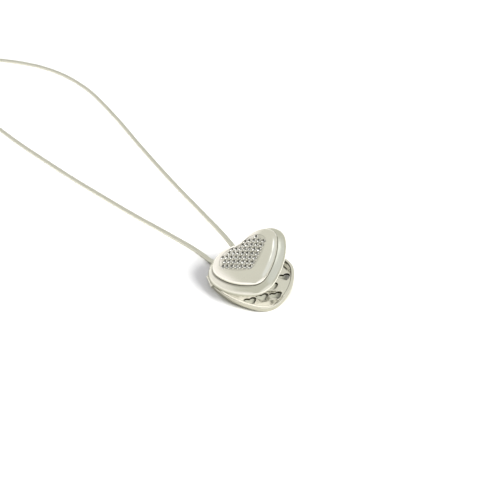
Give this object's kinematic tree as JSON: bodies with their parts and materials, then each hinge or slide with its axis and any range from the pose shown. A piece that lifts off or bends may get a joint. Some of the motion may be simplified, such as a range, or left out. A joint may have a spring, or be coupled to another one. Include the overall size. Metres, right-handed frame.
{
  "type": "heart locket necklace",
  "caption": "Heart shaped locket pendant with a stone set domed cover on a side hinge, threaded on a snake chain with a clasp.",
  "frame": {"origin": "middle of the heart outline on the flat back face, the plane that the locket lies on", "axes": "+X towards the catch side, +Y towards the lobes and the chain, +Z out of the table, up through the cover"},
  "size_m": [0.0856, 0.1664, 0.0117],
  "materials": {
    "polished_silver": "polished silver plate",
    "snake_chain": "polished fine ribbed snake chain",
    "clear_stone": "clear faceted stones",
    "tie_thread": "soft white tie"
  },
  "bodies": {
    "locket_back": {"back_rim": "polished_silver", "back_plate": "polished_silver", "hinge_knuckle_back_lower": "polished_silver", "hinge_knuckle_back_upper": "polished_silver", "hinge_pin": "polished_silver", "catch_lip": "polished_silver", "bail_tube": "polished_silver", "chain_left": "snake_chain", "chain_right": "snake_chain", "chain_coil": "snake_chain", "chain_tail": "snake_chain", "coil_tie": "tie_thread", "end_cap_right": "polished_silver", "end_cap_left": "polished_silver", "jump_ring_right": "polished_silver", "jump_ring_left": "polished_silver", "clasp_body": "polished_silver", "clasp_trigger_pin": "polished_silver", "clasp_spring": "polished_silver"},
    "locket_cover": {"cover_bezel": "polished_silver", "cover_dome": "polished_silver", "pave_seat": "polished_silver", "pave_stones": "clear_stone", "hinge_knuckle_cover": "polished_silver", "catch_tongue": "polished_silver"},
    "clasp_lever": {"clasp_trigger": "polished_silver"}
  },
  "joints": [
    {"name": "cover_hinge", "type": "hinge", "parent": "locket_back", "child": "locket_cover", "pos_m": [-0.00997, 0.00345, 0.00161], "axis": [0, -1, 0], "range_deg": [-25.9, 94.1]},
    {"name": "clasp_lever_hinge", "type": "hinge", "parent": "locket_back", "child": "clasp_lever", "pos_m": [-0.05434, 0.11504, 0.0011], "axis": [0, 0, -1], "range_deg": [0, 22], "stiffness_Nm_per_rad": 0.0002, "springref_deg": -17.19}
  ]
}
